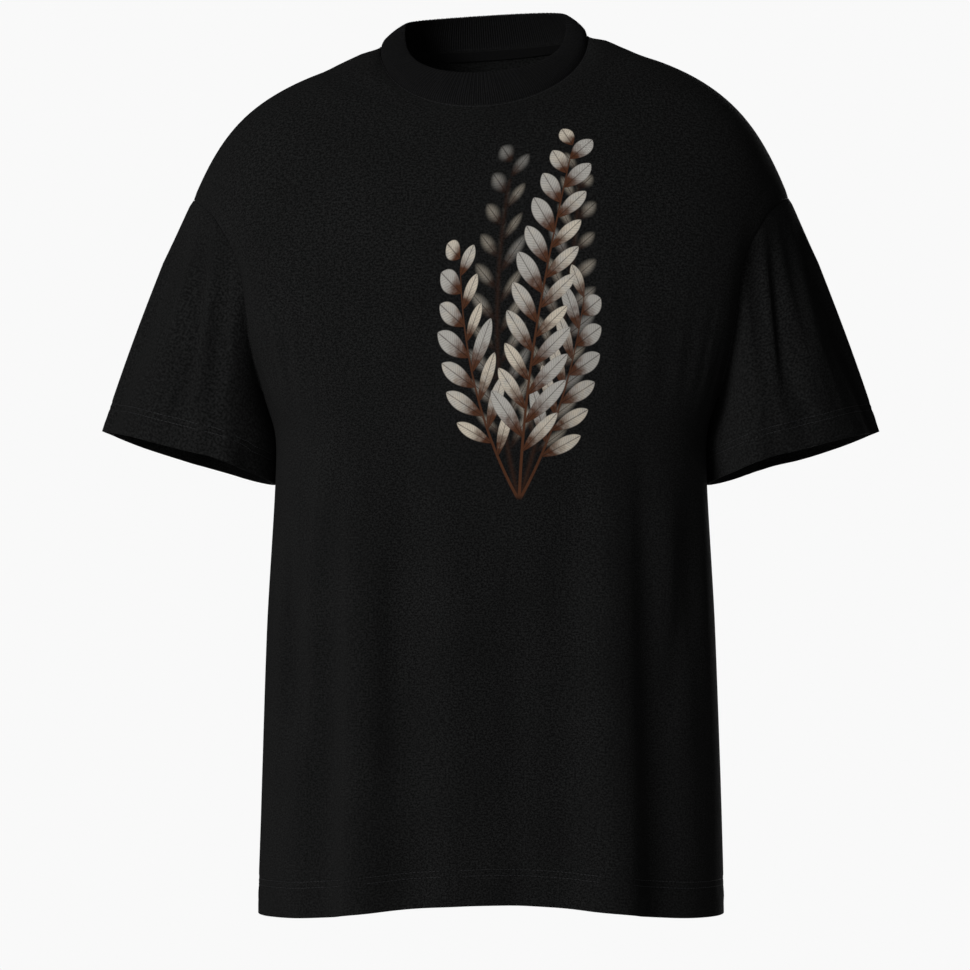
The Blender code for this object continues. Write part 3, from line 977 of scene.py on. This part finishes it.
def sew(name, lines):
    """Rows of stitches along closed lines, as one piece."""
    stitch = one_stitch()
    shape = [v.co.copy() for v in stitch.data.vertices]
    rings = [list(f.vertices) for f in stitch.data.polygons]
    bpy.data.objects.remove(stitch)
    spots, faces = [], []
    for line in lines:
        for place, ahead, out in steps_along(evened(line, ROW_EVENING), STITCH_PITCH):
            side = out.cross(ahead).normalized()
            first = len(spots)
            spots += [place + ahead * p.x + side * p.y + out * (p.z + STITCH_LIFT) for p in shape]
            faces += [[first + i for i in ring] for ring in rings]
    piece = bpy.data.objects.new(name, bpy.data.meshes.new(name))
    piece.data.from_pydata(spots, [], faces)
    piece.data.shade_smooth()
    piece.data.materials.append(thread.material)
    bpy.context.scene.collection.objects.link(piece)
    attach(piece, "root")


def on_side(lines, side):
    """The lines that lie to the left of the shirt's middle, side 1, or to its right, side -1."""
    return [line for line in lines if side * line[0][0].x > 0]


def twin_rows(from_hem, height):
    """The lines of both needles, the upper one at that height above the hem's edge."""
    upper = level_lines(shirt, from_hem, height)
    return upper + level_lines(shirt, from_hem, height - NEEDLE_GAP)


sleeve_rows = twin_rows(from_sleeve_hem, SLEEVE_HEM)
from_neck = distances(shirt, edges["neck"], NECK_SEARCH)
sew("hem_stitches", twin_rows(from_body_hem, BODY_HEM))
sew("sleeve_left_stitches", on_side(sleeve_rows, 1))
sew("sleeve_right_stitches", on_side(sleeve_rows, -1))
sew("neck_stitches", level_lines(shirt, from_neck, NECK_ROW))


# The seams' raw edges. Inside the shirt the edges of each seam are held together by overlock stitches,
# which make a narrow band along the shoulders, the armholes and the sides.
BAND_HALF_WIDTH = 0.0021
BAND_TOP = 0.0013  # below the cloth's face
BAND_THICKNESS = 0.0014
# Its outline, across and down into the shirt, as shares of the half width and the thickness
BAND_SHAPE = ((-1.0, 0.15), (-0.8, 0.0), (0.8, 0.0), (1.0, 0.15), (0.8, 1.0), (-0.8, 1.0))
LOOP_PITCH = 0.0026
LOOP_SLANT = 120  # turns of the loops' pattern for each metre across the band
LOOP_RELIEF = 0.0005

overlock = Finish("overlock", 0.6, specular=0.2)
loop_u, loop_v = overlock.flat_place()
loops = wave(overlock, loop_u / LOOP_PITCH + abs(loop_v) * LOOP_SLANT)
overlock.colour(overlock.mix(overlock.ramp(loops, 0.25, 0.75), JERSEY_BLACK, THREAD_BLACK))
overlock.raise_by(loops, LOOP_RELIEF)


def seam_chains(piece):
    """The vertices along each seam in order, one list for each seam between two panels."""
    number = piece.data.attributes["panel"].data
    beside = {}
    for f in piece.data.polygons:
        for key in f.edge_keys:
            beside.setdefault(key, []).append(number[f.index].value)
    follows = {}
    for key, panels in beside.items():
        if len(panels) == 2 and panels[0] != panels[1]:
            seam = follows.setdefault(tuple(sorted(panels)), {})
            seam.setdefault(key[0], []).append(key[1])
            seam.setdefault(key[1], []).append(key[0])
    chains = []
    for seam in follows.values():
        ends = [v for v in seam if len(seam[v]) == 1]
        ends.sort(key=lambda v: piece.data.vertices[v].co.z)
        used = set()
        for end in ends:
            if end in used:
                continue
            chain, onward = [], [end]
            while onward:
                chain.append(onward[0])
                used.add(onward[0])
                onward = [v for v in seam[chain[-1]] if v not in used]
            chains.append(chain)
    return chains


def band(piece, chains):
    """A band inside the cloth along the chains, as one piece, with a map along it in metres."""
    spots, faces, maps = [], [], []
    for chain in chains:
        corners = [piece.data.vertices[v] for v in chain]
        line = [(v.co.copy(), v.normal.copy()) for v in corners]
        first, gone, size = len(spots), 0.0, len(BAND_SHAPE)
        for i, (place, out) in enumerate(line):
            before, after = line[max(i - 1, 0)][0], line[min(i + 1, len(line) - 1)][0]
            side = (after - before).cross(out).normalized()
            gone += (place - before).length
            for across, deep in BAND_SHAPE:
                below = BAND_TOP + deep * BAND_THICKNESS
                spots.append(place + side * across * BAND_HALF_WIDTH - out * below)
                maps.append((gone, across * BAND_HALF_WIDTH))
        for i in range(len(line) - 1):
            for k in range(size):
                a, b = first + i * size + k, first + i * size + (k + 1) % size
                faces.append((a, b, b + size, a + size))
        faces.append(tuple(range(first + size - 1, first - 1, -1)))
        faces.append(tuple(range(len(spots) - size, len(spots))))
    made = bpy.data.objects.new("overlock_seams", bpy.data.meshes.new("overlock_seams"))
    made.data.from_pydata(spots, [], faces)
    uv = made.data.uv_layers.new(name="cut").uv
    for loop in made.data.loops:
        uv[loop.index].vector = maps[loop.vertex_index]
    made.data.shade_smooth()
    made.data.materials.append(overlock.material)
    bpy.context.scene.collection.objects.link(made)
    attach(made, "root")


band(shirt, seam_chains(shirt))


# The collar is a band of one-by-one rib knit, folded double and sewn to the neckline. Its ribs run
# from the seam to the fold, and its lower edge goes under the edge of the panels.
RIB_PITCH = 0.0021
RIB_DEPTH = 0.00032
RIB_CUTS = 9  # of each edge round the neck, so that a rib has enough faces
ROUND_ENOUGH = 0.75  # an edge this straight along the way round the neck is cut
RIB_COURSE = 0.0008
RIB_FADE = 0.7  # how much of the ribs is pressed flat at the seam
COLLAR_TUCK = 0.0030  # how far the lower edge goes under the panels
COLLAR_TUCK_IN = 0.0007
COLLAR_TUCK_REACH = 0.0070
# The grey is the yarn's lighter specks, and painted light on the collar's raised ribs and on the tape's
# raised twill threads.
RIB_BLACK = (0.0025, 0.0025, 0.0027)
RIB_GREY = (0.0100, 0.0100, 0.0104)


def ordered_loop(piece, members):
    """The places round a closed border of the piece, in order."""
    follows = {}
    for e in piece.data.edges:
        a, b = e.vertices
        if a in members and b in members:
            follows.setdefault(a, []).append(b)
            follows.setdefault(b, []).append(a)
    start = next(iter(members))
    ring, came = [start], None
    while True:
        here = ring[-1]
        onward = [v for v in follows[here] if v != came]
        came = here
        if onward[0] == start:
            return [piece.data.vertices[v].co.copy() for v in ring]
        ring.append(onward[0])


def round_neck(line):
    """The line's lengths so far, and a tree that finds its places."""
    lengths = [0.0]
    for a, b in zip(line, line[1:]):
        lengths.append(lengths[-1] + (b - a).length)
    tree = kdtree.KDTree(len(line))
    for i, p in enumerate(line):
        tree.insert(p, i)
    tree.balance()
    return lengths, tree


def neck_place(p):
    """How far round the neckline a place lies, how far off it, and the way back to it."""
    _, i, _ = neck_tree.find(p)
    best = None
    for a, b in ((i - 1, i), (i, (i + 1) % len(neckline))):
        line = neckline[b] - neckline[a]
        share = min(1.0, max(0.0, (p - neckline[a]).dot(line) / line.length_squared))
        foot = neckline[a] + line * share
        found = ((p - foot).length, neck_lengths[a] + line.length * share, foot)
        best = found if best is None or found[0] < best[0] else best
    return best[1], best[0], best[2] - p


def map_round_neck(piece):
    """Gives the piece a map of metres round the neck and off the seam."""
    uv = bare_map(piece)
    spots = [neck_place(v.co) for v in piece.data.vertices]
    half = neck_round / 2
    for f in piece.data.polygons:
        turns = [spots[v][0] % neck_round for v in f.vertices]
        wraps = max(turns) - min(turns) > half
        for loop, turn in zip(f.loop_indices, turns):
            distance = spots[piece.data.loops[loop].vertex_index][1]
            uv[loop].vector = (turn + (neck_round if wraps and turn < half else 0), distance)


neckline = ordered_loop(shirt, edges["neck"])
neck_lengths, neck_tree = round_neck(neckline)
neck_round = neck_lengths[-1] + (neckline[0] - neckline[-1]).length
rib_pitch = neck_round / round(neck_round / RIB_PITCH)

collar = copy_in_edit_mode("collar_rib", "collar")
pair_triangles()
apply_modifier(collar, "SUBSURF", levels=2, render_levels=2)
editing(collar)
bpy.ops.mesh.select_mode(type="EDGE")
mesh = bmesh.from_edit_mesh(collar.data)
for e in mesh.edges:
    a, b = (v.co for v in e.verts)
    middle = (a + b) / 2
    round_way = Vector((-middle.y, middle.x, 0)).normalized()
    e.select_set(abs((b - a).normalized().dot(round_way)) > ROUND_ENOUGH)
bmesh.update_edit_mesh(collar.data)
bpy.ops.mesh.subdivide(number_cuts=RIB_CUTS)
done()
ways_out = [v.normal.copy() for v in collar.data.vertices]
for v, out in zip(collar.data.vertices, ways_out):
    turn, off, back = neck_place(v.co)
    near = 1 - smooth(off / COLLAR_TUCK_REACH)
    inside = Vector((-v.co.x, -v.co.y, 0)).normalized()
    ribs = RIB_DEPTH * math.cos(2 * math.pi * turn / rib_pitch) * (1 - RIB_FADE * near)
    v.co += out * ribs + back.normalized() * COLLAR_TUCK * near + inside * COLLAR_TUCK_IN * near
collar.data.shade_smooth()
map_round_neck(collar)

rib = Finish("rib_knit", 0.93, specular=0.08, sheen=0.01)
rib_u, rib_v = rib.flat_place()
# Painted shade: the collar's colour is lighter on the ribs' ridges and darker in the grooves between
# them, in step with the ribs raised in the mesh.
rib_ridges_painted_lighter = wave(rib, rib_u / rib_pitch)
rib_wale = abs(rib.math("FRACT", rib_u / (rib_pitch / 2)) - 0.5)
rib_course = wave(rib, rib_v / RIB_COURSE + rib_wale)
rib_grain = rib.speckle(rib_u, rib_v, GRAIN)
rib.colour(rib.mix(rib.ramp(rib_grain * 0.6 + rib_ridges_painted_lighter * 0.4, 0.30, 0.80), RIB_BLACK, RIB_GREY))
rib.raise_by(rib_course * 0.6 + rib_grain * 0.4, 0.00020)
collar.data.materials.clear()
collar.data.materials.append(rib.material)
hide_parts("collar_rib")
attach(collar, "root")


# The neck tape is a narrow herringbone tape of cotton twill. It is sewn down along both edges and
# covers the collar's seam inside the back of the neck, from shoulder seam to shoulder seam.
HERRINGBONE = 0.0050
TWILL = 0.00085
TWILL_SLANT = 1.2
TAPE_EDGE = math.radians(50)
TAPE_SMOOTH = math.radians(40)

tape = copy_in_edit_mode("neck_tape", "tape")
pair_triangles()
editing(tape)
bpy.ops.mesh.select_all(action="DESELECT")
bpy.ops.mesh.select_mode(type="EDGE")
bpy.ops.mesh.edges_select_sharp(sharpness=TAPE_EDGE)
bpy.ops.transform.edge_crease(value=1.0)
done()
apply_modifier(tape, "SUBSURF", levels=3, render_levels=3)
activate(tape)
bpy.ops.object.shade_smooth_by_angle(angle=TAPE_SMOOTH)
map_round_neck(tape)
twill = Finish("tape_twill", 0.85, specular=0.12)
tape_u, tape_v = twill.flat_place()
zigzag = abs(twill.math("FRACT", tape_u / HERRINGBONE) - 0.5) * HERRINGBONE
twill_height_and_painted_shade = wave(twill, (tape_v + zigzag * TWILL_SLANT) / TWILL)
# The tape's colour follows the weave's height: painted shade, darker in the hollows and lighter on the
# raised threads.
twill.colour(twill.mix(twill_height_and_painted_shade, RIB_BLACK, RIB_GREY))
twill.raise_by(twill_height_and_painted_shade, 0.00015)
tape.data.materials.clear()
tape.data.materials.append(twill.material)
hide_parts("neck_tape")
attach(tape, "root")

bpy.data.objects.remove(shirt)


# The studio: a pale floor far below the hem, a large soft light from the left, a weak one in front,
# one behind for the edges, an almost white background, and a camera level with the chest.
PIXEL = 0.00086  # on the plane of the shoulders
IMAGE = 970
MIDDLE = Vector((-0.0052, 0.0, -0.3913))
CAMERA_DISTANCE = 5.0
SENSOR = 36.0
BACKGROUND = 0.947
FILL = 0.022  # how much of the background's light reaches the cloth
FLOOR_Z = -1.5
FLOOR_RADIUS = 6.0
# Each light's place, the place that it faces, its size in metres and its power in watts
LIGHTS = {
    "key_light": ((-1.9, -3.1, 0.9), (0, 0, -0.35), 1.4, 108),
    "front_light": ((0.3, -4.2, 0.2), (0, 0, -0.4), 1.2, 8),
    "back_light": ((1.6, 4.4, 0.3), (0, 0, -0.4), 1.2, 45),
}

bpy.ops.mesh.primitive_circle_add(
    vertices=64, radius=FLOOR_RADIUS, fill_type="NGON", location=(0, 0, FLOOR_Z)
)
floor = bpy.context.object
floor.name = "floor"
pale = Finish("pale_floor", 0.9)
pale.shader.inputs["Base Color"].default_value = (0.85, 0.85, 0.85, 1.0)
floor.data.materials.append(pale.material)


for name, (place, target, size, power) in LIGHTS.items():
    lamp = bpy.data.lights.new(name, "AREA")
    lamp.energy = power
    lamp.size = size
    softbox = bpy.data.objects.new(name, lamp)
    bpy.context.scene.collection.objects.link(softbox)
    softbox.location = place
    way = Vector(target) - Vector(place)
    softbox.rotation_euler = way.to_track_quat("-Z", "Y").to_euler()

world = bpy.data.worlds.new("studio")
bpy.context.scene.world = world
world.use_nodes = True
sky = world.node_tree.nodes["Background"]
sky.inputs["Color"].default_value = (1.0, 1.0, 1.0, 1.0)
path = world.node_tree.nodes.new("ShaderNodeLightPath")
seen = world.node_tree.nodes.new("ShaderNodeMapRange")
seen.inputs["To Min"].default_value = FILL
seen.inputs["To Max"].default_value = BACKGROUND
world.node_tree.links.new(path.outputs["Is Camera Ray"], seen.inputs["Value"])
world.node_tree.links.new(seen.outputs[0], sky.inputs["Strength"])

lens = bpy.data.cameras.new("camera")
lens.sensor_width = SENSOR
lens.lens = SENSOR * CAMERA_DISTANCE / (IMAGE * PIXEL)
camera = bpy.data.objects.new("camera", lens)
bpy.context.scene.collection.objects.link(camera)
camera.location = MIDDLE - Vector((0, CAMERA_DISTANCE, 0))
camera.rotation_euler = (math.radians(90), 0, 0)
bpy.context.scene.camera = camera
bpy.context.scene.view_settings.view_transform = "Standard"
